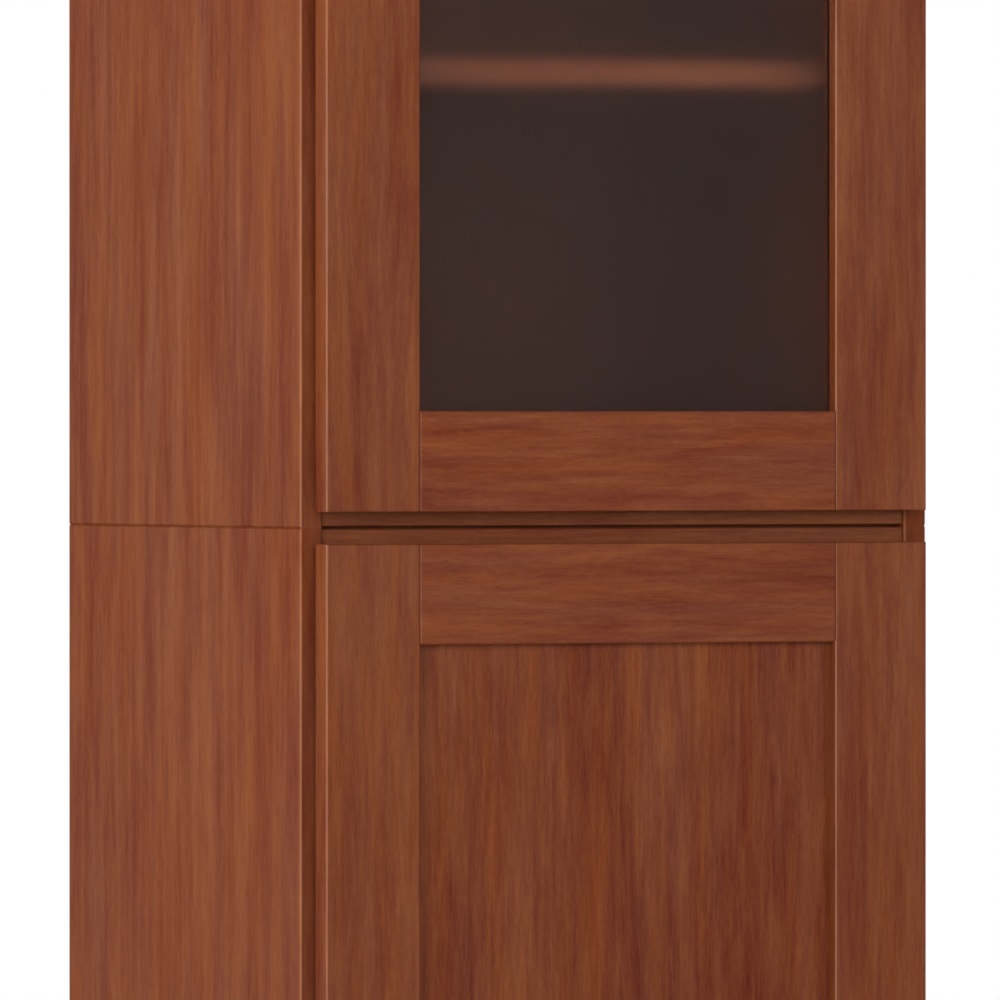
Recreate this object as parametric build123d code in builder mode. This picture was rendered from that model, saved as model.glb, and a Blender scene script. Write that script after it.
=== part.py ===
from build123d import *
import os

# A two-case kitchen cupboard: a closed lower case, a glazed upper case standing on it, and one
# framed door on each, hung on the right.  Millimetres, +Z up, doors facing -Y, X to the right.
# The origin is on the floor, at the middle of the overall width and depth.

# --- the cases
case_width = 600
case_depth = 455.5
total_height = 1950
seam_height = 880
side_thickness = 21
board_thickness = 20
board_recess = 3.5
seam_groove_height = 2.6
seam_groove_depth = 14
edge_ease = 1.5
board_ease = 0.8
toe_height = 72
toe_recess = 50
toe_board_thickness = 18
glide_height = 4
glide_radius = 9
glide_inset = 32

# --- back panels
back_thickness = 5.5
back_inset = 12
back_groove_depth = 6
back_slack = 0.5
groove_play = 0.1
back_rail_height = 70

# --- shelves
shelf_thickness = 22
shelf_setback = 25
shelf_end_gap = 0.8
shelf_back_gap = 3
shelf_edge_radius = 2
lower_shelf_rise = 375
upper_shelf_rise = 356
upper_shelf_spacing = 330
cleat_width = 15
cleat_height = 18
cleat_setback = 12
cleat_nose = 9

# --- joinery of the cases
tongue_thickness = 8
tongue_length = 9
tongue_setback = 16
tongue_play = 0.1
tie_length = 45
tie_thickness = 8
tie_depth = 11
tie_inset = 60
tie_play = 0.1

# --- doors
door_thickness = 22
door_gap = 2.5
door_side_margin = 12.6
door_top_margin = 13.5
door_foot_lift = 6
upper_reveal = 13.5
lower_reveal = 13.8
stile_width = 88.4
rail_width = 85
door_edge_radius = 1.6
door_back_ease = 1.2
opening_ease = 1.2
shoulder_ease = 1
tenon_length = 38
tenon_thickness = 8
tenon_setback = 8
tenon_margin = 2
mortise_play = 0.1
infill_lip = 10
infill_play = 1
glass_thickness = 4
glass_setback = 11.5
bead_play = 0.2
bead_sink = 0.5
panel_thickness = 6
panel_setback = 11
panel_play = 0.1

# --- hinges: a cup in the stile carries the pin of a gooseneck arm that reaches round the door edge
hinge_end_distance = 110
cup_radius = 17.5
cup_edge_distance = 3
cup_depth = 11.5
cup_play = 0.1
flange_thickness = 1.2
flange_lip = 1
ear_span = 59
ear_offset = 9.5
ear_width = 13
pin_radius = 1.2
pin_length = 17
pin_edge_distance = 7
pin_depth = 8
pin_play = 0.06
eye_radius = 2.3
arm_thickness = 2.2
arm_width = 10
arm_clearance = 0.3
neck_reach = 12
neck_setback = 11.5
neck_bend_radius = 2.6
neck_swing_room = 1.6
arm_tail = 15
plate_thickness = 2
plate_line = 37
plate_length = 44
plate_width = 16
plate_wing_span = 46
plate_wing_width = 13
plate_corner = 3

# --- magnetic catches and buffers
catch_seam_distance = 150
catch_width = 14
catch_depth = 15
catch_body_height = 26
catch_ear_span = 46
catch_ear_thickness = 3
catch_setback = 1
magnet_width = 9
magnet_height = 18
magnet_depth = 12
magnet_play = 0.2
catch_gap = 0.3
strike_thickness = 1.2
strike_width = 12
strike_height = 46
strike_corner = 2
buffer_radius = 2
buffer_gap = 0.3
buffer_end_distance = 30

# --- planes and levels that follow from the sizes above
door_face = -(case_depth + door_gap + door_thickness) / 2
door_back = door_face + door_thickness
case_front = door_back + door_gap
case_back = case_front + case_depth
case_middle = (case_front + case_back) / 2
inner_half = case_width / 2 - side_thickness
groove_back = case_back - back_inset
groove_front = groove_back - back_thickness

lower_floor = toe_height + board_thickness
lower_ceiling = seam_height - board_thickness
upper_floor = seam_height + board_thickness
upper_ceiling = total_height - board_thickness
lower_shelf_level = lower_floor + lower_shelf_rise
upper_shelf_low_level = upper_floor + upper_shelf_rise
upper_shelf_high_level = upper_shelf_low_level + upper_shelf_spacing

door_half = case_width / 2 - door_side_margin
opening_half = door_half - stile_width
lower_door_foot = toe_height + door_foot_lift
lower_door_head = seam_height - lower_reveal
upper_door_foot = seam_height + upper_reveal
upper_door_head = total_height - door_top_margin
glass_seat_front = door_face + glass_setback
glass_back = glass_seat_front + glass_thickness
panel_groove_front = door_face + panel_setback
panel_groove_back = panel_groove_front + panel_thickness + 2 * panel_play

lower_hinge_levels = (lower_door_foot + hinge_end_distance, lower_door_head - hinge_end_distance)
upper_hinge_levels = (
    upper_door_foot + hinge_end_distance,
    (upper_door_foot + upper_door_head) / 2,
    upper_door_head - hinge_end_distance,
)
cup_x = door_half - cup_edge_distance - cup_radius
ear_x = cup_x - ear_offset
pivot_x = door_half - pin_edge_distance
pivot_y = door_back - pin_depth
neck_x = pivot_x - neck_reach
neck_y = case_front + neck_setback
arm_x = inner_half - plate_thickness - arm_thickness / 2
plate_y = case_front + plate_line

lower_catch_level = seam_height - catch_seam_distance
upper_catch_level = seam_height + catch_seam_distance
catch_x = -inner_half + catch_width / 2
magnet_front = door_back + strike_thickness + catch_gap
buffer_x = -(door_half - door_back_ease + inner_half + edge_ease) / 2


def save(piece, name):
    piece.part.label = name
    export_step(piece.part, f"parts/{name}.step")


os.makedirs("parts", exist_ok=True)


# --- case pieces
def side_panel(side, foot, head, floor, ceiling):
    """A side panel, housed for its two boards and grooved for the back; side is -1 left, 1 right."""
    inner_face = Plane.YZ.offset(side * inner_half)
    housing_front = case_front + tongue_setback - tongue_play
    with BuildPart() as panel:
        with BuildSketch(inner_face):
            with Locations((case_middle, (foot + head) / 2)):
                Rectangle(case_depth, head - foot)
        extrude(amount=side * side_thickness)
        outer_face = panel.faces().sort_by(Axis.X)[0 if side < 0 else -1]
        chamfer(outer_face.edges(), edge_ease)
        upright_edges = panel.edges().filter_by(Axis.Z)
        inner_front_edge = upright_edges.sort_by_distance((side * inner_half, case_front, seam_height))[0]
        chamfer(inner_front_edge, edge_ease)
        with BuildSketch(inner_face):
            with Locations(
                ((housing_front + case_back) / 2, floor - board_thickness / 2),
                ((housing_front + case_back) / 2, ceiling + board_thickness / 2),
            ):
                Rectangle(case_back - housing_front, tongue_thickness + 2 * tongue_play)
        extrude(amount=side * (tongue_length + tongue_play), mode=Mode.SUBTRACT)
        with BuildSketch(inner_face):
            with Locations(((groove_front + groove_back) / 2, (floor + ceiling) / 2)):
                Rectangle(
                    back_thickness + 2 * groove_play,
                    ceiling - floor + 2 * back_groove_depth,
                )
        extrude(amount=side * back_groove_depth, mode=Mode.SUBTRACT)
    return panel


def case_board(underside, groove_in_top, at_seam=False):
    """A board between the side panels, tongued at both ends and grooved for the back panel.

    A board at the seam has a rebate along its front, on the side away from its back groove.
    """
    front = case_front + board_recess
    tongue_front = case_front + tongue_setback
    groove_bottom = underside + board_thickness - back_groove_depth if groove_in_top else underside
    with BuildPart() as board:
        with BuildSketch(Plane.XY.offset(underside)):
            with Locations((0, (front + case_back) / 2)):
                Rectangle(2 * inner_half, case_back - front)
        extrude(amount=board_thickness)
        if at_seam:
            with BuildSketch(Plane.XY.offset(seam_height)):
                with Locations((0, front + seam_groove_depth / 2)):
                    Rectangle(2 * inner_half, seam_groove_depth)
            extrude(amount=seam_groove_height / 2, both=True, mode=Mode.SUBTRACT)
        front_edges = board.faces().sort_by(Axis.Y)[0].edges().filter_by(Axis.X)
        chamfer(front_edges, board_ease)
        with BuildSketch(Plane.XY.offset(underside + board_thickness / 2)):
            with Locations((0, (tongue_front + case_back) / 2)):
                Rectangle(2 * (inner_half + tongue_length), case_back - tongue_front)
        extrude(amount=tongue_thickness / 2, both=True)
        with BuildSketch(Plane.XY.offset(groove_bottom)):
            with Locations((0, (groove_front + groove_back) / 2)):
                Rectangle(2 * (inner_half + tongue_length), back_thickness + 2 * groove_play)
        extrude(amount=back_groove_depth, mode=Mode.SUBTRACT)
    return board


def tie_grid(play):
    """The outlines of the four loose tenons at the seam, each side wider by play."""
    with BuildSketch() as outlines:
        with Locations((0, case_middle)):
            with GridLocations(
                2 * (inner_half - tie_inset), case_depth - 2 * tie_inset, 2, 2
            ):
                Rectangle(tie_length + 2 * play, tie_thickness + 2 * play)
    return outlines.sketch


lower_side_left = side_panel(-1, glide_height, seam_height, lower_floor, lower_ceiling)
lower_side_right = side_panel(1, glide_height, seam_height, lower_floor, lower_ceiling)
upper_side_left = side_panel(-1, seam_height, total_height, upper_floor, upper_ceiling)
upper_side_right = side_panel(1, seam_height, total_height, upper_floor, upper_ceiling)
lower_bottom_board = case_board(toe_height, True)
upper_top_board = case_board(upper_ceiling, False)

with BuildPart() as lower_top_board:
    add(case_board(lower_ceiling, False, True).part)
    with BuildSketch(Plane.XY.offset(seam_height)):
        add(tie_grid(tie_play))
    extrude(amount=-tie_depth - tie_play, mode=Mode.SUBTRACT)

with BuildPart() as upper_bottom_board:
    add(case_board(seam_height, True, True).part)
    with BuildSketch(Plane.XY.offset(seam_height)):
        add(tie_grid(tie_play))
    extrude(amount=tie_depth + tie_play, mode=Mode.SUBTRACT)

with BuildPart() as seam_tenons:
    with BuildSketch(Plane.XY.offset(seam_height)):
        add(tie_grid(0))
    extrude(amount=tie_depth, both=True)

with BuildPart() as toe_board:
    with BuildSketch(Plane.XY.offset(glide_height)):
        with Locations((0, case_front + toe_recess + toe_board_thickness / 2)):
            Rectangle(2 * inner_half, toe_board_thickness)
    extrude(amount=toe_height - glide_height)

with BuildPart() as base_glides:
    with BuildSketch():
        with Locations((0, case_middle)):
            with GridLocations(case_width - side_thickness, case_depth - 2 * glide_inset, 2, 2):
                Circle(glide_radius)
    extrude(amount=glide_height)


def back_panel(floor, ceiling):
    """A plywood back, held in the grooves of the side panels and boards."""
    reach = back_groove_depth - back_slack
    with BuildPart() as panel:
        with BuildSketch(Plane.XZ.offset(-groove_back)):
            with Locations((0, (floor + ceiling) / 2)):
                Rectangle(2 * (inner_half + reach), ceiling - floor + 2 * reach)
        extrude(amount=back_thickness)
    return panel


def back_rails(floor, ceiling, count):
    """Rails behind the back panel, spread evenly over its height and flush with the case's back."""
    pitch = (ceiling - floor) / (count + 1)
    with BuildPart() as rails:
        with BuildSketch(Plane.XZ.offset(-case_back)):
            for index in range(count):
                with Locations((0, floor + (index + 1) * pitch)):
                    Rectangle(2 * inner_half, back_rail_height)
        extrude(amount=back_inset)
    return rails


def shelf(level):
    """A loose shelf with a rounded front edge."""
    front = case_front + shelf_setback
    back = groove_front - shelf_back_gap
    with BuildPart() as board:
        with BuildSketch(Plane.XY.offset(level)):
            with Locations((0, (front + back) / 2)):
                Rectangle(2 * (inner_half - shelf_end_gap), back - front)
        extrude(amount=shelf_thickness)
        front_edges = board.faces().sort_by(Axis.Y)[0].edges().filter_by(Axis.X)
        fillet(front_edges, shelf_edge_radius)
    return board


def shelf_cleats(levels):
    """Battens on both side panels under each shelf, cut back at the nose."""
    front = case_front + shelf_setback + cleat_setback
    back = groove_front - shelf_back_gap
    with BuildPart() as cleats:
        for side in (-1, 1):
            with BuildSketch(Plane.YZ.offset(side * inner_half)):
                for level in levels:
                    with BuildLine():
                        Polyline(
                            (front, level),
                            (back, level),
                            (back, level - cleat_height),
                            (front + cleat_nose, level - cleat_height),
                            (front, level - cleat_height + cleat_nose),
                            close=True,
                        )
                    make_face()
            extrude(amount=-side * cleat_width)
    return cleats


lower_back_panel = back_panel(lower_floor, lower_ceiling)
upper_back_panel = back_panel(upper_floor, upper_ceiling)
lower_back_rail = back_rails(lower_floor, lower_ceiling, 1)
upper_back_rails = back_rails(upper_floor, upper_ceiling, 2)
lower_shelf = shelf(lower_shelf_level)
upper_shelf_low = shelf(upper_shelf_low_level)
upper_shelf_high = shelf(upper_shelf_high_level)
lower_shelf_cleats = shelf_cleats([lower_shelf_level])
upper_shelf_cleats = shelf_cleats([upper_shelf_low_level, upper_shelf_high_level])

# --- door frames
def infill_seat(foot, head, seat_front, seat_back):
    """The groove or rebate that takes the glass or panel of the door from foot to head."""
    with BuildPart() as seat:
        with BuildSketch(Plane.XZ.offset(-seat_back)):
            with Locations((0, (foot + head) / 2)):
                Rectangle(
                    2 * (opening_half + infill_lip),
                    head - foot - 2 * rail_width + 2 * infill_lip,
                )
        extrude(amount=seat_back - seat_front)
    return seat.part


def door_stile(side, foot, head, seat_front, seat_back):
    """An upright of a door frame, mortised for both rails."""
    middle = (foot + head) / 2
    mortise_back = door_face + tenon_setback + tenon_thickness + mortise_play
    seat = infill_seat(foot, head, seat_front, seat_back)
    with BuildPart() as stile:
        with BuildSketch(Plane.XZ.offset(-door_back)):
            with Locations((side * (door_half - stile_width / 2), middle)):
                Rectangle(stile_width, head - foot)
        extrude(amount=door_thickness)
        outer_face = stile.faces().sort_by(Axis.X)[0 if side < 0 else -1]
        front_rim = stile.faces().sort_by(Axis.Y)[0].edges()
        back_rim = stile.faces().sort_by(Axis.Y)[-1].edges()
        front_upright = outer_face.edges().sort_by(Axis.Y)[0]
        back_upright = outer_face.edges().sort_by(Axis.Y)[-1]
        fillet(front_rim.filter_by(Axis.X) + [front_upright], door_edge_radius)
        chamfer(back_rim.filter_by(Axis.X) + [back_upright], door_back_ease)
        opening_edge = stile.edges().sort_by_distance((side * opening_half, door_face, middle))[0]
        chamfer(opening_edge, opening_ease)
        add(seat, mode=Mode.SUBTRACT)
        with BuildSketch(Plane.XZ.offset(-mortise_back)):
            with Locations((0, foot + rail_width / 2), (0, head - rail_width / 2)):
                Rectangle(
                    2 * (opening_half + tenon_length + mortise_play),
                    rail_width - 2 * (infill_lip + tenon_margin) + 2 * mortise_play,
                )
        extrude(amount=tenon_thickness + 2 * mortise_play, mode=Mode.SUBTRACT)
    return stile


def door_rail(end, foot, head, seat_front, seat_back):
    """A crosspiece of a door frame with its tenons; end is -1 at the foot, 1 at the head."""
    rail_foot = foot if end < 0 else head - rail_width
    rail_middle = rail_foot + rail_width / 2
    opening_z = rail_middle - end * rail_width / 2
    outer_z = rail_middle + end * rail_width / 2
    seat = infill_seat(foot, head, seat_front, seat_back)
    with BuildPart() as rail:
        with BuildSketch(Plane.XZ.offset(-door_back)):
            with Locations((0, rail_middle)):
                Rectangle(2 * opening_half, rail_width)
        extrude(amount=door_thickness)
        fillet(rail.edges().sort_by_distance((0, door_face, outer_z))[0], door_edge_radius)
        chamfer(rail.edges().sort_by_distance((0, door_back, outer_z))[0], door_back_ease)
        chamfer(rail.edges().sort_by_distance((0, door_face, opening_z))[0], opening_ease)
        shoulder_edges = rail.faces().sort_by(Axis.Y)[0].edges().filter_by(Axis.Z)
        chamfer(shoulder_edges, shoulder_ease)
        with BuildSketch(Plane.XZ.offset(-(door_face + tenon_setback + tenon_thickness))):
            with Locations((0, rail_middle)):
                Rectangle(
                    2 * (opening_half + tenon_length),
                    rail_width - 2 * (infill_lip + tenon_margin),
                )
        extrude(amount=tenon_thickness)
        add(seat, mode=Mode.SUBTRACT)
    return rail


def cup_bores(levels):
    """Blind bores for the hinge cups."""
    with BuildPart() as bores:
        with BuildSketch(Plane.XZ.offset(-door_back)):
            with Locations(*[(cup_x, level) for level in levels]):
                Circle(cup_radius + cup_play)
        extrude(amount=cup_depth + cup_play)
    return bores.part


upper_door = (upper_door_foot, upper_door_head, glass_seat_front, door_back)
lower_door = (lower_door_foot, lower_door_head, panel_groove_front, panel_groove_back)

with BuildPart() as upper_door_stile_right:
    add(door_stile(1, *upper_door).part)
    add(cup_bores(upper_hinge_levels), mode=Mode.SUBTRACT)

with BuildPart() as lower_door_stile_right:
    add(door_stile(1, *lower_door).part)
    add(cup_bores(lower_hinge_levels), mode=Mode.SUBTRACT)

upper_door_stile_left = door_stile(-1, *upper_door)
lower_door_stile_left = door_stile(-1, *lower_door)
upper_door_rail_bottom = door_rail(-1, *upper_door)
upper_door_rail_top = door_rail(1, *upper_door)
lower_door_rail_bottom = door_rail(-1, *lower_door)
lower_door_rail_top = door_rail(1, *lower_door)

# --- what the frames hold
with BuildPart() as upper_door_glass:
    with BuildSketch(Plane.XZ.offset(-glass_back)):
        with Locations((0, (upper_door_foot + upper_door_head) / 2)):
            Rectangle(
                2 * (opening_half + infill_lip - infill_play),
                upper_door_head - upper_door_foot - 2 * (rail_width - infill_lip + infill_play),
            )
    extrude(amount=glass_thickness)

with BuildPart() as lower_door_panel:
    with BuildSketch(Plane.XZ.offset(-(panel_groove_back - panel_play))):
        with Locations((0, (lower_door_foot + lower_door_head) / 2)):
            Rectangle(
                2 * (opening_half + infill_lip - infill_play),
                lower_door_head - lower_door_foot - 2 * (rail_width - infill_lip + infill_play),
            )
    extrude(amount=panel_thickness)

with BuildPart() as upper_door_glass_beads:
    opening_foot = upper_door_foot + rail_width
    opening_head = upper_door_head - rail_width
    opening_middle = (opening_foot + opening_head) / 2
    bead_width = infill_lip - bead_play
    with BuildSketch(Plane.XZ.offset(-(door_back - bead_sink))):
        with Locations(
            (0, opening_foot - bead_width / 2),
            (0, opening_head + bead_width / 2),
        ):
            Rectangle(2 * (opening_half + bead_width), bead_width)
        with Locations(
            (-opening_half - bead_width / 2, opening_middle),
            (opening_half + bead_width / 2, opening_middle),
        ):
            Rectangle(bead_width, opening_head - opening_foot - 2 * bead_play)
    extrude(amount=door_back - bead_sink - glass_back)


# --- hinges
def hinge_pins(levels):
    """A pin across the slot of each cup."""
    with BuildPart() as pins:
        for level in levels:
            with BuildSketch(Plane.XY.offset(level)):
                with Locations((pivot_x, pivot_y)):
                    Circle(pin_radius)
            extrude(amount=pin_length / 2, both=True)
    return pins


def hinge_cups(levels):
    """Cast cups with two screw ears each; a slot takes the arm and its walls take the pin."""
    flange_edge = door_half - cup_edge_distance
    slot_near = pivot_x + eye_radius + arm_clearance
    slot_far = neck_x - arm_thickness / 2 - neck_swing_room
    with BuildPart() as cups:
        with BuildSketch(Plane.XZ.offset(-door_back)):
            with Locations(*[(cup_x, level) for level in levels]):
                Circle(cup_radius + flange_lip)
            with Locations(*[(ear_x, level) for level in levels]):
                SlotOverall(ear_span, ear_width, rotation=90)
            with Locations(*[(flange_edge, level) for level in levels]):
                Rectangle(
                    flange_lip,
                    2 * (cup_radius + flange_lip),
                    align=(Align.MIN, Align.CENTER),
                    mode=Mode.SUBTRACT,
                )
        extrude(amount=-flange_thickness)
        with BuildSketch(Plane.XZ.offset(-door_back)):
            with Locations(*[(cup_x, level) for level in levels]):
                Circle(cup_radius)
        extrude(amount=cup_depth)
        with BuildSketch(Plane.XZ.offset(-(door_back + flange_thickness))):
            with Locations(*[((slot_near + slot_far) / 2, level) for level in levels]):
                Rectangle(slot_near - slot_far, arm_width + 2 * arm_clearance)
        extrude(
            amount=flange_thickness + pin_depth + eye_radius + arm_clearance, mode=Mode.SUBTRACT
        )
        add(hinge_pins(levels).part, mode=Mode.SUBTRACT)
    return cups


def hinge_arm(level):
    """A bent strip: an eye on the pin, a gooseneck round the door edge and a tail on the plate."""
    with BuildPart() as arm:
        with BuildSketch(Plane.XY.offset(level)):
            with BuildLine():
                FilletPolyline(
                    (pivot_x, pivot_y),
                    (neck_x, pivot_y),
                    (neck_x, neck_y),
                    (arm_x, neck_y),
                    (arm_x, plate_y + arm_tail),
                    radius=neck_bend_radius,
                )
            trace(line_width=arm_thickness)
            with Locations((pivot_x, pivot_y)):
                Circle(eye_radius)
                Circle(pin_radius + pin_play, mode=Mode.SUBTRACT)
        extrude(amount=arm_width / 2, both=True)
    return arm


def hinge_plates(levels):
    """Winged mounting plates on the inside of the right side panel."""
    with BuildPart() as plates:
        for level in levels:
            with BuildSketch(Plane.YZ.offset(inner_half)) as outline:
                with Locations((plate_y, level)):
                    Rectangle(plate_wing_width, plate_wing_span)
                chamfer(outline.vertices(), plate_corner)
                with Locations((plate_y, level)):
                    Rectangle(plate_length, plate_width)
        extrude(amount=-plate_thickness)
    return plates


lower_hinge_names = ("low", "high")
upper_hinge_names = ("low", "middle", "high")
for name, level in zip(lower_hinge_names, lower_hinge_levels):
    save(hinge_arm(level), f"lower_hinge_arm_{name}")
for name, level in zip(upper_hinge_names, upper_hinge_levels):
    save(hinge_arm(level), f"upper_hinge_arm_{name}")

lower_hinge_cups = hinge_cups(lower_hinge_levels)
upper_hinge_cups = hinge_cups(upper_hinge_levels)
lower_hinge_plates = hinge_plates(lower_hinge_levels)
upper_hinge_plates = hinge_plates(upper_hinge_levels)
lower_hinge_pins = hinge_pins(lower_hinge_levels)
upper_hinge_pins = hinge_pins(upper_hinge_levels)

# --- catches, strikes and buffers
with BuildPart() as catch_housings:
    for level in (lower_catch_level, upper_catch_level):
        housing_front = Plane.XZ.offset(-(case_front + catch_setback))
        with BuildSketch(housing_front):
            with Locations((catch_x, level)):
                Rectangle(catch_width, catch_body_height)
            with Locations((-inner_half, level)):
                Rectangle(catch_ear_thickness, catch_ear_span, align=(Align.MIN, Align.CENTER))
        extrude(amount=-catch_depth)
        with BuildSketch(housing_front):
            with Locations((catch_x, level)):
                Rectangle(magnet_width + 2 * magnet_play, magnet_height + 2 * magnet_play)
        extrude(amount=-magnet_depth, mode=Mode.SUBTRACT)

with BuildPart() as catch_magnets:
    with BuildSketch(Plane.XZ.offset(-magnet_front)):
        with Locations((catch_x, lower_catch_level), (catch_x, upper_catch_level)):
            Rectangle(magnet_width, magnet_height)
    extrude(amount=-(case_front + catch_setback + magnet_depth - magnet_front))


def strike(level):
    """A steel plate on the back of the left stile, in front of a magnet."""
    with BuildPart() as plate:
        with BuildSketch(Plane.XZ.offset(-door_back)) as outline:
            with Locations((catch_x, level)):
                Rectangle(strike_width, strike_height)
            chamfer(outline.vertices(), strike_corner)
        extrude(amount=-strike_thickness)
    return plate


with BuildPart() as door_buffers:
    with BuildSketch(Plane.XZ.offset(-case_front)):
        with Locations(
            (buffer_x, lower_door_foot + buffer_end_distance),
            (buffer_x, lower_door_head - buffer_end_distance),
            (buffer_x, upper_door_foot + buffer_end_distance),
            (buffer_x, upper_door_head - buffer_end_distance),
        ):
            Circle(buffer_radius)
    extrude(amount=door_gap - buffer_gap)

lower_door_strike = strike(lower_catch_level)
upper_door_strike = strike(upper_catch_level)

# --- write every piece
pieces = {
    "lower_side_left": lower_side_left,
    "lower_side_right": lower_side_right,
    "lower_bottom_board": lower_bottom_board,
    "lower_top_board": lower_top_board,
    "lower_back_panel": lower_back_panel,
    "lower_back_rail": lower_back_rail,
    "lower_shelf": lower_shelf,
    "lower_shelf_cleats": lower_shelf_cleats,
    "toe_board": toe_board,
    "base_glides": base_glides,
    "upper_side_left": upper_side_left,
    "upper_side_right": upper_side_right,
    "upper_bottom_board": upper_bottom_board,
    "upper_top_board": upper_top_board,
    "upper_back_panel": upper_back_panel,
    "upper_back_rails": upper_back_rails,
    "upper_shelf_low": upper_shelf_low,
    "upper_shelf_high": upper_shelf_high,
    "upper_shelf_cleats": upper_shelf_cleats,
    "seam_tenons": seam_tenons,
    "upper_door_stile_left": upper_door_stile_left,
    "upper_door_stile_right": upper_door_stile_right,
    "upper_door_rail_top": upper_door_rail_top,
    "upper_door_rail_bottom": upper_door_rail_bottom,
    "upper_door_glass": upper_door_glass,
    "upper_door_glass_beads": upper_door_glass_beads,
    "upper_door_strike": upper_door_strike,
    "lower_door_stile_left": lower_door_stile_left,
    "lower_door_stile_right": lower_door_stile_right,
    "lower_door_rail_top": lower_door_rail_top,
    "lower_door_rail_bottom": lower_door_rail_bottom,
    "lower_door_panel": lower_door_panel,
    "lower_door_strike": lower_door_strike,
    "lower_hinge_cups": lower_hinge_cups,
    "upper_hinge_cups": upper_hinge_cups,
    "lower_hinge_plates": lower_hinge_plates,
    "upper_hinge_plates": upper_hinge_plates,
    "lower_hinge_pins": lower_hinge_pins,
    "upper_hinge_pins": upper_hinge_pins,
    "catch_housings": catch_housings,
    "catch_magnets": catch_magnets,
    "door_buffers": door_buffers,
}
for name, piece in pieces.items():
    save(piece, name)
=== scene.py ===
import math

import bmesh
import bpy
from mathutils import Matrix, Vector


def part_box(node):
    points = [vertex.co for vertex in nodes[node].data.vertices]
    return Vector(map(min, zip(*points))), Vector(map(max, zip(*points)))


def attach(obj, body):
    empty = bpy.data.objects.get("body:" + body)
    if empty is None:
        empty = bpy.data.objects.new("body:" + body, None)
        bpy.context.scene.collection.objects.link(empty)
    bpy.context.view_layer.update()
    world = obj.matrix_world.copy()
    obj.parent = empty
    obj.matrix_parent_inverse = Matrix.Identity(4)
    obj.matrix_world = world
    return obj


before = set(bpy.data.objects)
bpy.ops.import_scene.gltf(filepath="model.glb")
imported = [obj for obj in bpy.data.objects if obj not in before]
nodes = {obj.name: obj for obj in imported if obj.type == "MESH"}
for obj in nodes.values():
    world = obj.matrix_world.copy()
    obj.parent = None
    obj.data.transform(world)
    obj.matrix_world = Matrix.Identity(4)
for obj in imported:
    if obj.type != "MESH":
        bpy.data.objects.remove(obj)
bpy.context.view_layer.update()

MM = 0.001
WHITE = (1.0, 1.0, 1.0, 1.0)


# --- colour helpers: colours are written as 8-bit sRGB levels
def linear(rgb):
    """An 8-bit sRGB colour as Blender's linear RGBA."""
    out = []
    for value in rgb:
        c = value / 255
        out.append(c / 12.92 if c <= 0.04045 else ((c + 0.055) / 1.055) ** 2.4)
    return (*out, 1.0)


def shifted(palette, step):
    """The palette with every colour moved by step, in 8-bit levels."""

    def move(rgb):
        return tuple(min(255, max(0, c + s)) for c, s in zip(rgb, step))

    return {
        use: tuple(map(move, colour)) if isinstance(colour[0], tuple) else move(colour)
        for use, colour in palette.items()
    }


# --- node helpers
def new_material(name):
    material = bpy.data.materials.new(name)
    material.use_nodes = True
    tree = material.node_tree
    tree.nodes.clear()
    output = tree.nodes.new("ShaderNodeOutputMaterial")
    shader = tree.nodes.new("ShaderNodeBsdfPrincipled")
    tree.links.new(shader.outputs["BSDF"], output.inputs["Surface"])
    return material, tree, shader


def feed(tree, value, socket):
    """Links value to the socket where it is an output, and otherwise sets it there."""
    if isinstance(value, bpy.types.NodeSocket):
        tree.links.new(value, socket)
    else:
        socket.default_value = value


def math_node(tree, operation, a, b=None, clamp=False):
    node = tree.nodes.new("ShaderNodeMath")
    node.operation = operation
    node.use_clamp = clamp
    feed(tree, a, node.inputs[0])
    if b is not None:
        feed(tree, b, node.inputs[1])
    return node.outputs[0]


def vector_math(tree, operation, *values, result="Vector"):
    node = tree.nodes.new("ShaderNodeVectorMath")
    node.operation = operation
    for socket, value in zip(node.inputs, values):
        feed(tree, value, socket)
    return node.outputs[result]


# A mix node has two inputs and an output for each data type, at these places.
MIX_SOCKETS = {"VECTOR": (4, 5, 1), "RGBA": (6, 7, 2)}


def mix(tree, factor, a, b, data_type="RGBA", blend="MIX"):
    node = tree.nodes.new("ShaderNodeMix")
    node.data_type = data_type
    node.blend_type = blend
    first, second, result = MIX_SOCKETS[data_type]
    feed(tree, factor, node.inputs[0])
    feed(tree, a, node.inputs[first])
    feed(tree, b, node.inputs[second])
    return node.outputs[result]


def map_range(tree, value, span, to_low=0.0, to_high=1.0):
    node = tree.nodes.new("ShaderNodeMapRange")
    node.inputs["From Min"].default_value, node.inputs["From Max"].default_value = span
    node.inputs["To Min"].default_value = to_low
    node.inputs["To Max"].default_value = to_high
    tree.links.new(value, node.inputs["Value"])
    return node.outputs["Result"]


def coordinates(tree, kind):
    return tree.nodes.new("ShaderNodeTexCoord").outputs[kind]


def object_coordinates(tree, offset):
    """Object coordinates, moved by offset so that every board is cut from another place."""
    return vector_math(tree, "ADD", coordinates(tree, "Object"), offset)


def split(tree, vector):
    node = tree.nodes.new("ShaderNodeSeparateXYZ")
    tree.links.new(vector, node.inputs[0])
    return tuple(node.outputs)


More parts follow.
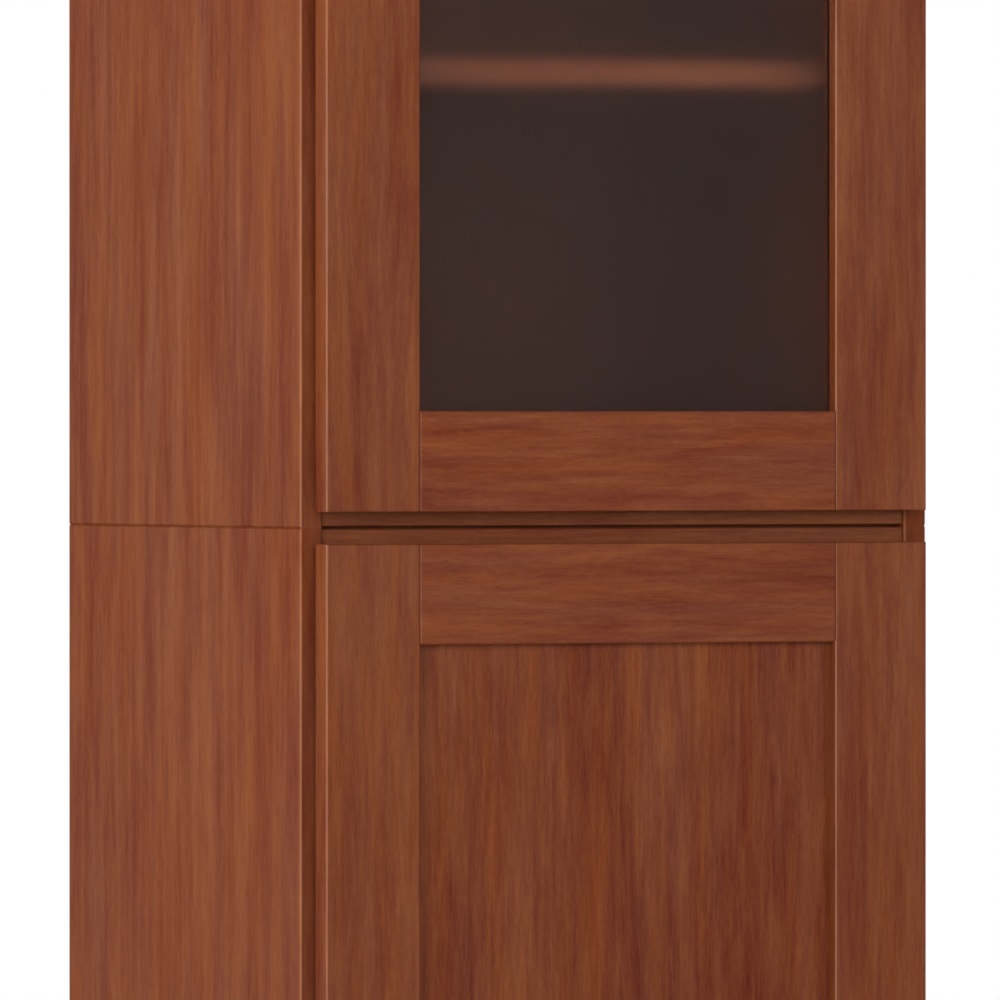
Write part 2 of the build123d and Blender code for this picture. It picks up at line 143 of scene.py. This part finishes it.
def noise(tree, vector, scale, detail, roughness=0.5, result="Fac"):
    """Noise with scale waves per metre, a number or one number for each axis."""
    mapping = tree.nodes.new("ShaderNodeMapping")
    mapping.vector_type = "POINT"
    mapping.inputs["Scale"].default_value = scale if isinstance(scale, tuple) else (scale,) * 3
    tree.links.new(vector, mapping.inputs["Vector"])
    texture = tree.nodes.new("ShaderNodeTexNoise")
    texture.inputs["Scale"].default_value = 1.0
    texture.inputs["Detail"].default_value = detail
    texture.inputs["Roughness"].default_value = roughness
    tree.links.new(mapping.outputs["Vector"], texture.inputs["Vector"])
    return texture.outputs[result]


def stretched(along, across, lengthwise):
    """A value for each axis: lengthwise on the grain's axis, across on the other two."""
    return tuple(lengthwise if axis == along else across for axis in "XYZ")


def bump(tree, shader, height, strength, distance):
    node = tree.nodes.new("ShaderNodeBump")
    node.inputs["Strength"].default_value = strength
    node.inputs["Distance"].default_value = distance
    tree.links.new(height, node.inputs["Height"])
    tree.links.new(node.outputs["Normal"], shader.inputs["Normal"])


# --- materials
# Two tones for each end of the figure, between which the hue wanders; the pores; and the colour
# of a painted highlight on front left edges.
STAIN = {
    "light": ((133, 79, 49), (139, 78, 35)),
    "dark": ((79, 17, 14), (84, 15, 6)),
    "pore": (82, 21, 3),
    "worn": (172, 116, 88),
}
PLYWOOD = {
    "light": ((140, 84, 66), (144, 94, 62)),
    "dark": ((102, 50, 34), (106, 58, 28)),
    "pore": (84, 44, 28),
    "worn": (160, 112, 84),
}
BEECH = {
    "light": ((214, 176, 140), (220, 188, 144)),
    "dark": ((186, 142, 106), (190, 154, 108)),
    "pore": (150, 110, 74),
    "worn": (222, 192, 156),
}

# Layers of the light and dark figure: waves per metre across and along the grain, and depth.
FRONT_FIGURE = (
    (14, 2.4, 0.62),
    (60, 6.0, 0.64),
    (170, 16.0, 0.54),
    (420, 24.0, 0.30),
    (520, 110.0, 0.36),
    (1300, 240.0, 0.12),
)
SIDE_FIGURE = (
    (7, 1.3, 0.32),
    (30, 3.0, 0.62),
    (95, 9.0, 0.52),
    (230, 24.0, 0.26),
    (300, 80.0, 0.26),
    (700, 180.0, 0.18),
)
FRONT_HUE, SIDE_HUE = (55, 4.5), (28, 3.2)  # waves per metre across and along the grain
FRONT_SWAY, SIDE_SWAY = (0.012, 0.0012), (0.006, 0.0008)  # reach of each bend of the grain
SWAY_WAVES = ((9, 1.3), (40, 12.0))
BOARD_APART = (0.731, 1.377, 2.113)
NOISE_MIDDLE = 0.5
HUE_SPAN = (0.28, 0.72)
NOISE_SPAN = (0.3, 0.7)  # where nearly all of a noise lies
PORE_WAVES, PORE_SPAN, PORE_STRENGTH = (1600, 60.0), (0.60, 0.74), 0.35
SHEEN_CHANGE = 0.05
WOOD_BUMP, WOOD_BUMP_HEIGHT = 0.22, 0.25 * MM
WOOD_IOR = 1.5


def wood(
    name,
    along,
    number,
    depth=1.0,
    roughness=0.40,
    palette=STAIN,
    gloss=0.10,
    swap_inside=None,
    figure=FRONT_FIGURE,
    hue_waves=FRONT_HUE,
    sway=FRONT_SWAY,
    wear=0.0,
    lipping=None,
    groove=None,
):
    """Stained close-grained wood with its grain on one axis; number picks its own figure."""
    material, tree, shader = new_material(name)
    offset = tuple(apart * number for apart in BOARD_APART)
    point = object_coordinates(tree, offset)
    if swap_inside is not None:
        point = swap_grain(tree, point, swap_inside, offset[0])
    for waves, reach in zip(SWAY_WAVES, sway):
        bend = noise(tree, point, stretched(along, *waves), 1.0, result="Color")
        point = vector_math(tree, "MULTIPLY_ADD", bend, stretched(along, reach, 0.0), point)

    lift = None
    for across, lengthwise, share in figure:
        layer = noise(tree, point, stretched(along, across, lengthwise), 1.5)
        layer = math_node(tree, "SUBTRACT", layer, NOISE_MIDDLE)
        layer = math_node(tree, "MULTIPLY", layer, share * depth)
        lift = layer if lift is None else math_node(tree, "ADD", lift, layer)
    fibre = layer
    lift = math_node(tree, "ADD", lift, NOISE_MIDDLE, clamp=True)
    hue = noise(tree, point, stretched(along, *hue_waves), 3.0, 0.55)
    warmth = map_range(tree, hue, HUE_SPAN)
    ends = [mix(tree, warmth, *map(linear, palette[end])) for end in ("dark", "light")]
    colour = mix(tree, lift, *ends)
    pores = noise(tree, point, stretched(along, *PORE_WAVES), 2.0)
    dash = map_range(tree, pores, PORE_SPAN, 0.0, PORE_STRENGTH * depth)
    colour = mix(tree, dash, colour, linear(palette["pore"]))
    # Painted shade: the flat front edges of the side panels are darkened, as in the shadow of the
    # doors.
    if lipping is not None:
        colour = mix(tree, faces_front(tree), colour, (*lipping, 1.0), blend="MULTIPLY")
    # A highlight painted into the colour on the front left edges of upright pieces.
    if wear:
        colour = mix(tree, painted_edge_highlight(tree, point, wear), colour, linear(palette["worn"]))
    # Painted shade in the V-grooves where the stiles and rails meet.
    if groove is not None:
        colour = mix(tree, painted_groove_shade(tree, *groove), colour, linear(palette["pore"]))
    tree.links.new(colour, shader.inputs["Base Color"])

    duller, shinier = roughness + SHEEN_CHANGE, roughness - SHEEN_CHANGE
    sheen = map_range(tree, lift, NOISE_SPAN, duller, shinier)
    tree.links.new(sheen, shader.inputs["Roughness"])
    height = math_node(tree, "SUBTRACT", fibre, dash)
    bump(tree, shader, height, WOOD_BUMP, WOOD_BUMP_HEIGHT)
    shader.inputs["IOR"].default_value = WOOD_IOR
    shader.inputs["Specular IOR Level"].default_value = gloss
    return material


def swap_grain(tree, point, half_width, shift):
    """Turns the grain from Z to X wherever x lies within half_width of the middle."""
    x, y, z = split(tree, point)
    from_middle = math_node(tree, "ABSOLUTE", math_node(tree, "SUBTRACT", x, shift))
    inside = math_node(tree, "LESS_THAN", from_middle, half_width)
    turned = tree.nodes.new("ShaderNodeCombineXYZ")
    for value, socket in zip((z, y, x), turned.inputs):
        tree.links.new(value, socket)
    return mix(tree, inside, point, turned.outputs[0], data_type="VECTOR")


FRONT_FACING = (0.80, 0.98)


def faces_front(tree):
    """A mask that is 1 on the flat front edge of a board, where shade is painted into its colour.
    """
    y = split(tree, coordinates(tree, "Normal"))[1]
    return map_range(tree, math_node(tree, "MULTIPLY", y, -1.0), FRONT_FACING)


# The product of a normal's x and y: 0 on flat faces and 0.5 on an upright front left chamfer.
SLANTED = (0.03, 0.35)


def front_left_slant(tree, most=1.0):
    """A mask, up to most on the front left rounds and chamfers of upright edges."""
    x, y, _ = split(tree, coordinates(tree, "Normal"))
    return map_range(tree, math_node(tree, "MULTIPLY", x, y), SLANTED, 0.0, most)


# The painted edge highlight: waves per metre of its patches, and its least share.
HIGHLIGHT_WAVES, LEAST_HIGHLIGHT = 35, 0.65


def painted_edge_highlight(tree, point, most):
    """A mask, a little uneven and up to most, on the front left edges, where a highlight is
    painted into the colour.
    """
    bent = front_left_slant(tree)
    patches = noise(tree, point, HIGHLIGHT_WAVES, 3.0, 0.6)
    uneven = map_range(tree, patches, NOISE_SPAN, LEAST_HIGHLIGHT * most, most)
    return math_node(tree, "MULTIPLY", bent, uneven)


# Painted shade in the grooves between stiles and rails: how dark, how far from the groove, and
# the depths where it sets in.
GROOVE_SHADE_DARKNESS = 0.72
GROOVE_REACH = 2.5 * MM
GROOVE_DEEP = (0.45 * MM, 0.65 * MM)  # depths between which the mask sets in


def painted_groove_shade(tree, face, line, spans):
    """A mask on the inner half of the lit flank of the V-groove where a stile and a rail meet;
    there shade is painted into the colour.

    face is the y of the door's front, the grooves run at x = -line and line, and each of spans
    holds the lowest and highest z of a rail.
    """
    x, y, z = split(tree, coordinates(tree, "Object"))
    slanted = front_left_slant(tree, GROOVE_SHADE_DARKNESS)
    deep = map_range(tree, y, tuple(face + depth for depth in GROOVE_DEEP))
    beside = math_node(tree, "SUBTRACT", math_node(tree, "ABSOLUTE", x), line)
    near = math_node(tree, "LESS_THAN", math_node(tree, "ABSOLUTE", beside), GROOVE_REACH)
    within = None
    for low, high in spans:
        off = math_node(tree, "SUBTRACT", z, (low + high) / 2)
        hit = math_node(tree, "LESS_THAN", math_node(tree, "ABSOLUTE", off), (high - low) / 2)
        within = hit if within is None else math_node(tree, "ADD", within, hit)
    mask = math_node(tree, "MULTIPLY", slanted, deep)
    mask = math_node(tree, "MULTIPLY", mask, near)
    return math_node(tree, "MULTIPLY", mask, within)


METAL_APART = (0.31, 0.17, 0.57)
DRAWN_WAVES, HAZE_WAVES = (2600, 140), 160
METAL_DIRT, METAL_DIRT_SPAN, METAL_DIRT_MOST = 0.72, (0.35, 0.75), 0.35
METAL_BUMP, METAL_BUMP_HEIGHT = 0.15, 0.06 * MM


def metal(name, rgb, roughness, brushed, along, number):
    """Plated or bright metal with fine drawn marks, dulled patches and a little dirt."""
    material, tree, shader = new_material(name)
    point = object_coordinates(tree, tuple(apart * number for apart in METAL_APART))
    marks = noise(tree, point, stretched(along, *DRAWN_WAVES), 3.0, 0.6)
    haze = noise(tree, point, HAZE_WAVES, 4.0, 0.6)
    dirt = map_range(tree, haze, METAL_DIRT_SPAN, 0.0, METAL_DIRT_MOST)
    dirty = linear(tuple(METAL_DIRT * c for c in rgb))
    tree.links.new(mix(tree, dirt, linear(rgb), dirty), shader.inputs["Base Color"])
    base = map_range(tree, haze, NOISE_SPAN, roughness - 0.05, roughness + 0.10)
    rough = math_node(tree, "ADD", base, math_node(tree, "MULTIPLY", marks, brushed))
    tree.links.new(rough, shader.inputs["Roughness"])
    bump(tree, shader, marks, METAL_BUMP, METAL_BUMP_HEIGHT)
    shader.inputs["Metallic"].default_value = 1.0
    return material


MOULDED_APART = (0.23, 0.41, 0.67)
MOULDED_CLOUDS, MOULDED_BUMP = 90, 0.35


def moulded(name, rgb, roughness, spark_waves, spark_height, number):
    """Moulded plastic or rubber with a fine spark texture and faint clouding."""
    material, tree, shader = new_material(name)
    point = object_coordinates(tree, tuple(apart * number for apart in MOULDED_APART))
    clouds = map_range(tree, noise(tree, point, MOULDED_CLOUDS, 3.0, 0.55), NOISE_SPAN)
    spark = noise(tree, point, spark_waves, 2.0, 0.6)
    faded = linear(tuple(min(255, 1.22 * c + 4) for c in rgb))
    tree.links.new(mix(tree, clouds, linear(rgb), faded), shader.inputs["Base Color"])
    rough = map_range(tree, spark, NOISE_SPAN, roughness - 0.06, roughness + 0.08)
    tree.links.new(rough, shader.inputs["Roughness"])
    bump(tree, shader, spark, MOULDED_BUMP, spark_height)
    return material


GLASS_TINTS = (0.72, 0.68, 0.67, 1.0), (0.66, 0.62, 0.61, 1.0)
GLASS_CLOUDS, ETCH_WAVES = 7, 2200
GLASS_ROUGHNESS, ETCH_ROUGHNESS = (0.66, 0.70), 0.04
GLASS_TRANSMISSION = 0.995
GLASS_IOR = 1.17  # with the roughness it sets how far the shelf behind the pane is blurred


def frosted(name):
    """Acid-etched glass: a rough see-through pane with a very fine etch and faint clouding."""
    material, tree, shader = new_material(name)
    point = object_coordinates(tree, (0.0, 0.0, 0.0))
    etch = noise(tree, point, ETCH_WAVES, 2.0)
    clouds = noise(tree, point, GLASS_CLOUDS, 3.0)
    tint = mix(tree, map_range(tree, clouds, NOISE_SPAN), *GLASS_TINTS)
    tree.links.new(tint, shader.inputs["Base Color"])
    smooth = map_range(tree, clouds, NOISE_SPAN, *GLASS_ROUGHNESS)
    rough = math_node(tree, "ADD", smooth, math_node(tree, "MULTIPLY", etch, ETCH_ROUGHNESS))
    tree.links.new(rough, shader.inputs["Roughness"])
    shader.inputs["Transmission Weight"].default_value = GLASS_TRANSMISSION
    shader.inputs["IOR"].default_value = GLASS_IOR
    return material


# --- the nodes' materials: the grain's axis and the look of each wooden node
GRAIN = {
    "lower_side_left": "Z",
    "lower_side_right": "Z",
    "upper_side_left": "Z",
    "upper_side_right": "Z",
    "lower_bottom_board": "X",
    "lower_top_board": "X",
    "upper_bottom_board": "X",
    "upper_top_board": "X",
    "toe_board": "X",
    "lower_shelf": "X",
    "upper_shelf_low": "X",
    "upper_shelf_high": "X",
    "lower_shelf_cleats": "Y",
    "upper_shelf_cleats": "Y",
    "upper_door_stile_left": "Z",
    "upper_door_stile_right": "Z",
    "upper_door_rail_top": "X",
    "upper_door_rail_bottom": "X",
    "lower_door_stile_left": "Z",
    "lower_door_stile_right": "Z",
    "lower_door_rail_top": "X",
    "lower_door_rail_bottom": "X",
    "lower_door_panel": "Z",
}
# Each look may set the share of a painted highlight on front left edges.
LOOKS = {
    "_side_": {
        "gloss": 0.03,
        "figure": SIDE_FIGURE,
        "hue_waves": SIDE_HUE,
        "sway": SIDE_SWAY,
        "wear": 0.39,
        "lipping": (0.88, 0.85, 0.99),
    },
    "_stile_": {"wear": 0.42, "depth": 0.86, "palette": shifted(STAIN, (1, 1, 1))},
    "_rail_": {"wear": 0.33, "palette": shifted(STAIN, (0, -2, -1))},
    # The shelves' stain is lifted 20 levels: painted light on the shelves behind the doors.
    "_shelf": {"palette": shifted(STAIN, (20, 21, 20))},
    "_panel": {"depth": 1.08, "palette": shifted(STAIN, (-3, -4, -3))},
}
for number, (node, along) in enumerate(GRAIN.items(), start=1):
    look = next((LOOKS[word] for word in LOOKS if word in node), {})
    # Stiles and rails are given their grooves, for the painted shade in them.
    if "_stile_" in node or "_rail_" in node:
        door = node[: node.index("_door") + len("_door")]
        rails = [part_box(door + "_rail_" + end) for end in ("bottom", "top")]
        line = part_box(door + "_stile_right")[0].x
        look = {**look, "groove": (rails[0][0].y, line, [(low.z, high.z) for low, high in rails])}
    board = wood("wood_" + node, along, number, **look)
    nodes[node].data.materials.clear()
    nodes[node].data.materials.append(board)

glass_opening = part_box("upper_door_stile_right")[0].x
ply = {"depth": 0.8, "roughness": 0.55, "palette": PLYWOOD}
OTHER = {
    "lower_back_panel": wood("plywood_lower_back", "Z", 31, **ply),
    "upper_back_panel": wood("plywood_upper_back", "Z", 32, **ply),
    "lower_back_rail": wood("plywood_lower_rail", "X", 33, **ply),
    "upper_back_rails": wood("plywood_upper_rails", "X", 34, **ply),
    "seam_tenons": wood("beech_tenons", "Z", 35, depth=0.5, roughness=0.6, palette=BEECH),
    "upper_door_glass_beads": wood("wood_beads", "Z", 36, swap_inside=glass_opening),
    "upper_door_glass": frosted("frosted_glass"),
}
nickel = metal("hinge_nickel", (214, 208, 198), 0.36, 0.08, "Z", 1)
steel = metal("bright_steel", (196, 196, 197), 0.30, 0.10, "Z", 2)
magnet = metal("magnet_poles", (120, 120, 124), 0.34, 0.12, "X", 3)
for node in nodes:
    if "hinge_cups" in node or "hinge_plates" in node or "hinge_arm" in node:
        OTHER[node] = nickel
    elif "hinge_pins" in node or "strike" in node:
        OTHER[node] = steel
OTHER["catch_magnets"] = magnet
OTHER["catch_housings"] = moulded("catch_plastic", (48, 33, 26), 0.42, 1500, 0.06 * MM, 1)
OTHER["base_glides"] = moulded("glide_plastic", (40, 38, 36), 0.38, 1200, 0.06 * MM, 2)
OTHER["door_buffers"] = moulded("buffer_rubber", (74, 64, 58), 0.62, 2000, 0.04 * MM, 3)
for node, material in OTHER.items():
    nodes[node].data.materials.clear()
    nodes[node].data.materials.append(material)

missing = [node for node in nodes if node not in GRAIN and node not in OTHER]
assert not missing, missing

# --- screws: the small fasteners that the solids leave out
HEAD_SIDES = 32
HEAD_ROUND = ((1.0, -0.2), (1.0, 0.25), (0.95, 0.52), (0.82, 0.78), (0.60, 0.93), (0.30, 1.0))
RECESS_LENGTH, RECESS_WIDTH, RECESS_DEPTH, RECESS_TAPER = 0.56, 0.13, 0.75, 0.6
RECESS_TOP = 1.5
FIRST_TURN, NEXT_TURN = 17, 39  # degrees by which the recesses are turned


def lathe(rings):
    """A closed solid of revolution about Z, from (radius, height) rings listed upwards."""
    mesh = bmesh.new()
    turns = [2 * math.pi * k / HEAD_SIDES for k in range(HEAD_SIDES)]
    loops = [
        [mesh.verts.new((r * math.cos(a), r * math.sin(a), z)) for a in turns] for r, z in rings
    ]
    for low, high in zip(loops, loops[1:]):
        for k in range(HEAD_SIDES):
            n = (k + 1) % HEAD_SIDES
            mesh.faces.new((low[k], low[n], high[n], high[k]))
    mesh.faces.new(loops[-1])
    mesh.faces.new(loops[0][::-1])
    return mesh


def cross_prism(bottom, top, taper):
    """A plus-shaped prism between two heights, narrower at the bottom by the factor taper."""
    mesh = bmesh.new()
    a, w = RECESS_LENGTH, RECESS_WIDTH
    outline = [
        (a, -w), (a, w), (w, w), (w, a), (-w, a), (-w, w),
        (-a, w), (-a, -w), (-w, -w), (-w, -a), (w, -a), (w, -w),
    ]
    low = [mesh.verts.new((x * taper, y * taper, bottom)) for x, y in outline]
    high = [mesh.verts.new((x, y, top)) for x, y in outline]
    for k in range(len(outline)):
        n = (k + 1) % len(outline)
        mesh.faces.new((low[k], low[n], high[n], high[k]))
    mesh.faces.new(high)
    mesh.faces.new(low[::-1])
    return mesh


def object_from(mesh, name):
    data = bpy.data.meshes.new(name)
    mesh.to_mesh(data)
    mesh.free()
    made = bpy.data.objects.new(name, data)
    bpy.context.scene.collection.objects.link(made)
    return made


def screw_head():
    """A raised screw head of unit radius and height, with a tapered cross recess."""
    head = object_from(lathe(HEAD_ROUND), "screw_head_blank")
    recess = cross_prism(1 - RECESS_DEPTH, RECESS_TOP, RECESS_TAPER)
    cutter = object_from(recess, "screw_recess")
    cut = head.modifiers.new("recess", "BOOLEAN")
    cut.object = cutter
    cut.operation = "DIFFERENCE"
    cut.solver = "EXACT"
    bpy.context.view_layer.update()
    evaluated = head.evaluated_get(bpy.context.evaluated_depsgraph_get())
    done = bpy.data.meshes.new_from_object(evaluated)
    bpy.data.objects.remove(head)
    bpy.data.objects.remove(cutter)
    return done


HEAD = screw_head()


def screws(name, places, facing, size, finish, body):
    """One piece of several screw heads that face one way; each is turned differently."""
    joined = bmesh.new()
    face = Vector(facing).to_track_quat("Z", "Y").to_matrix().to_4x4()
    radius, height = size
    for number, place in enumerate(places):
        copy = HEAD.copy()
        turned = Matrix.Rotation(math.radians(FIRST_TURN + NEXT_TURN * number), 4, "Z")
        sized = Matrix.Diagonal((radius, radius, height, 1))
        copy.transform(Matrix.Translation(Vector(place)) @ face @ turned @ sized)
        joined.from_mesh(copy)
        bpy.data.meshes.remove(copy)
    piece = object_from(joined, name)
    material, slot = finish
    piece.data.materials.append(material)
    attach(piece, body)


def middle(node):
    low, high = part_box(node)
    return (low + high) / 2


NICKEL = (nickel, "hinge_nickel")
STEEL = (steel, "pin_steel")
TO_LEFT, TO_RIGHT, TO_BACK = (-1, 0, 0), (1, 0, 0), (0, 1, 0)

# Radius and height of each kind of screw head.
CUP_HEAD = (3.5 * MM, 1.1 * MM)
PLATE_HEAD = (3.4 * MM, 1.4 * MM)
ARM_HEAD = (3.0 * MM, 1.6 * MM)
ADJUSTER_HEAD = (2.5 * MM, 1.0 * MM)
STRIKE_HEAD = (3.0 * MM, 1.0 * MM)
CATCH_HEAD = (2.9 * MM, 1.3 * MM)
SHELF_HEAD = (3.6 * MM, 0.9 * MM)

# How far the screws sit from the middles, faces and ends of the pieces that they hold.
EAR_REACH, EAR_IN = 23 * MM, 9 * MM
WING_REACH, ARM_TAIL, ARM_THICKNESS = 16 * MM, 15 * MM, 2.2 * MM
ADJUSTER_FORWARD = 12.5 * MM
STRIKE_REACH = 17 * MM
CATCH_EAR_REACH, CATCH_EAR_THICKNESS, CATCH_EAR_MIDDLE = 18 * MM, 3 * MM, 7.5 * MM
CLEAT_WIDTH, CLEAT_SINK = 15 * MM, 9 * MM
CLEAT_SCREWS_Y = (-150 * MM, 20 * MM, 190 * MM)
BOTH_SIDES = (-1, 1)

ARMS = {
    "lower_door": ("lower_hinge_arm_low", "lower_hinge_arm_high"),
    "upper_door": ("upper_hinge_arm_low", "upper_hinge_arm_middle", "upper_hinge_arm_high"),
}
for door, arms in ARMS.items():
    case = door.replace("_door", "")
    cups_low, cups_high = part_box(case + "_hinge_cups")
    levels = [middle(arm).z for arm in arms]
    plate_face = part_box(case + "_hinge_plates")[0].x
    arm_face = plate_face - ARM_THICKNESS
    plate_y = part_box(arms[0])[1].y - ARM_TAIL
    ear_x = cups_low.x + EAR_IN
    ears = [(ear_x, cups_high.y, z + s * EAR_REACH) for z in levels for s in BOTH_SIDES]
    screws(case + "_cup_screws", ears, TO_BACK, CUP_HEAD, NICKEL, door)
    wings = [(plate_face, plate_y, z + s * WING_REACH) for z in levels for s in BOTH_SIDES]
    screws(case + "_plate_screws", wings, TO_LEFT, PLATE_HEAD, NICKEL, "cabinet")
    fixings = [(arm_face, plate_y, z) for z in levels]
    screws(case + "_arm_screws", fixings, TO_LEFT, ARM_HEAD, NICKEL, "cabinet")
    adjusters = [(arm_face, plate_y - ADJUSTER_FORWARD, z) for z in levels]
    screws(case + "_adjusters", adjusters, TO_LEFT, ADJUSTER_HEAD, NICKEL, "cabinet")

    strike = middle(door + "_strike")
    strike_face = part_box(door + "_strike")[1].y
    holes = [(strike.x, strike_face, strike.z + s * STRIKE_REACH) for s in BOTH_SIDES]
    screws(case + "_strike_screws", holes, TO_BACK, STRIKE_HEAD, STEEL, door)
    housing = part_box("catch_housings")[0]
    ear_x, ear_y = housing.x + CATCH_EAR_THICKNESS, housing.y + CATCH_EAR_MIDDLE
    ears = [(ear_x, ear_y, strike.z + s * CATCH_EAR_REACH) for s in BOTH_SIDES]
    screws(case + "_catch_screws", ears, TO_RIGHT, CATCH_HEAD, STEEL, "cabinet")

for shelf in ("lower_shelf", "upper_shelf_low", "upper_shelf_high"):
    cleats = "lower_shelf_cleats" if shelf == "lower_shelf" else "upper_shelf_cleats"
    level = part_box(shelf)[0].z - CLEAT_SINK
    left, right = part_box(cleats)
    left_places = [(left.x + CLEAT_WIDTH, y, level) for y in CLEAT_SCREWS_Y]
    screws(shelf + "_screws_left", left_places, TO_RIGHT, SHELF_HEAD, STEEL, "cabinet")
    right_places = [(right.x - CLEAT_WIDTH, y, level) for y in CLEAT_SCREWS_Y]
    screws(shelf + "_screws_right", right_places, TO_LEFT, SHELF_HEAD, STEEL, "cabinet")
bpy.data.meshes.remove(HEAD)

# --- studio: the photograph's camera, soft lamps, a white world and a pale floor
CAMERA_FOCUS_PX = 15139.6
CAMERA_HEADING = math.radians(26.982)
CAMERA_DISTANCE = 12.8423
CAMERA_AIM = Vector((-0.111096, -0.2155))
CAMERA_HEIGHT = 0.983945
HORIZON_PX = 404.7
PICTURE_PX = 1000

camera_data = bpy.data.cameras.new("camera")
camera_data.sensor_width = 36.0
camera_data.lens = CAMERA_FOCUS_PX * camera_data.sensor_width / PICTURE_PX
camera = bpy.data.objects.new("camera", camera_data)
ahead = Vector((math.sin(CAMERA_HEADING), math.cos(CAMERA_HEADING)))
place = CAMERA_AIM - ahead * CAMERA_DISTANCE
camera.location = (place.x, place.y, CAMERA_HEIGHT)
pitch = math.atan((PICTURE_PX / 2 - HORIZON_PX) / CAMERA_FOCUS_PX)
camera.rotation_euler = (math.pi / 2 - pitch, 0.0, -CAMERA_HEADING)
bpy.context.scene.collection.objects.link(camera)
bpy.context.scene.camera = camera
bpy.context.scene.view_settings.view_transform = "Standard"

LAMP_TARGET = Vector((0, 0, 1.0))
# Name, position, size and power in watts of each lamp.
LAMPS = (
    ("key", (-4.15, -3.13, 1.7), (1.7, 1.7), 132),
    ("left", (-4.4, 0.4, 1.7), (2.2, 2.0), 89),
    ("front", (-0.33, -4.8, 1.9), (2.4, 1.8), 54),
    ("right", (3.2, -3.8, 1.9), (2.6, 1.8), 34),
    ("back", (3.4, 3.6, 2.6), (2.4, 2.4), 150),
)
WITHOUT_GLARE = "back"  # it would glare on the flat top, seen from the front left
for name, position, size, power in LAMPS:
    data = bpy.data.lights.new(name, "AREA")
    data.shape = "RECTANGLE"
    data.size, data.size_y = size
    data.energy = power
    lamp = bpy.data.objects.new(name, data)
    lamp.location = position
    lamp.rotation_euler = (LAMP_TARGET - Vector(position)).to_track_quat("-Z", "Y").to_euler()
    lamp.visible_glossy = name != WITHOUT_GLARE
    bpy.context.scene.collection.objects.link(lamp)

# White for the camera and in gloss and glass, and a plain level of light on the object.
WORLD_LEVEL, WORLD_SEEN = 0.24, 1.0
world = bpy.data.worlds.new("studio_white")
world.use_nodes = True
bpy.context.scene.world = world
tree = world.node_tree
tree.nodes.clear()
output = tree.nodes.new("ShaderNodeOutputWorld")
backdrop = tree.nodes.new("ShaderNodeBackground")
backdrop.inputs["Color"].default_value = WHITE
path = tree.nodes.new("ShaderNodeLightPath").outputs
seen = math_node(tree, "MAXIMUM", path["Is Camera Ray"], path["Is Glossy Ray"])
seen = math_node(tree, "MAXIMUM", seen, path["Is Transmission Ray"])
strength = map_range(tree, seen, (0, 1), WORLD_LEVEL, WORLD_SEEN)
tree.links.new(strength, backdrop.inputs["Strength"])
tree.links.new(backdrop.outputs[0], output.inputs["Surface"])

# The floor keeps the cabinet's shadow. Further out it fades to white, for the camera only.
FLOOR_RADIUS, FLOOR_SIDES = 5.0, 96
FLOOR_TINTS = (0.88, 0.88, 0.88, 1.0), (0.90, 0.90, 0.90, 1.0)
SPECKLE_WAVES = 40
FADE_SPAN = (0.7, FLOOR_RADIUS - 0.4)
bpy.ops.mesh.primitive_circle_add(vertices=FLOOR_SIDES, radius=FLOOR_RADIUS, fill_type="NGON")
floor = bpy.context.object
floor.name = "studio_floor"
material, tree, shader = new_material("floor_pale")
point = object_coordinates(tree, (0.0, 0.0, 0.0))
speckle = noise(tree, point, SPECKLE_WAVES, 3.0)
tree.links.new(mix(tree, speckle, *FLOOR_TINTS), shader.inputs["Base Color"])
shader.inputs["Roughness"].default_value = 0.9
fade = map_range(tree, vector_math(tree, "LENGTH", point, result="Value"), FADE_SPAN)
seen = tree.nodes.new("ShaderNodeLightPath").outputs["Is Camera Ray"]
tree.links.new(math_node(tree, "MULTIPLY", fade, seen), shader.inputs["Emission Strength"])
shader.inputs["Emission Color"].default_value = WHITE
floor.data.materials.append(material)
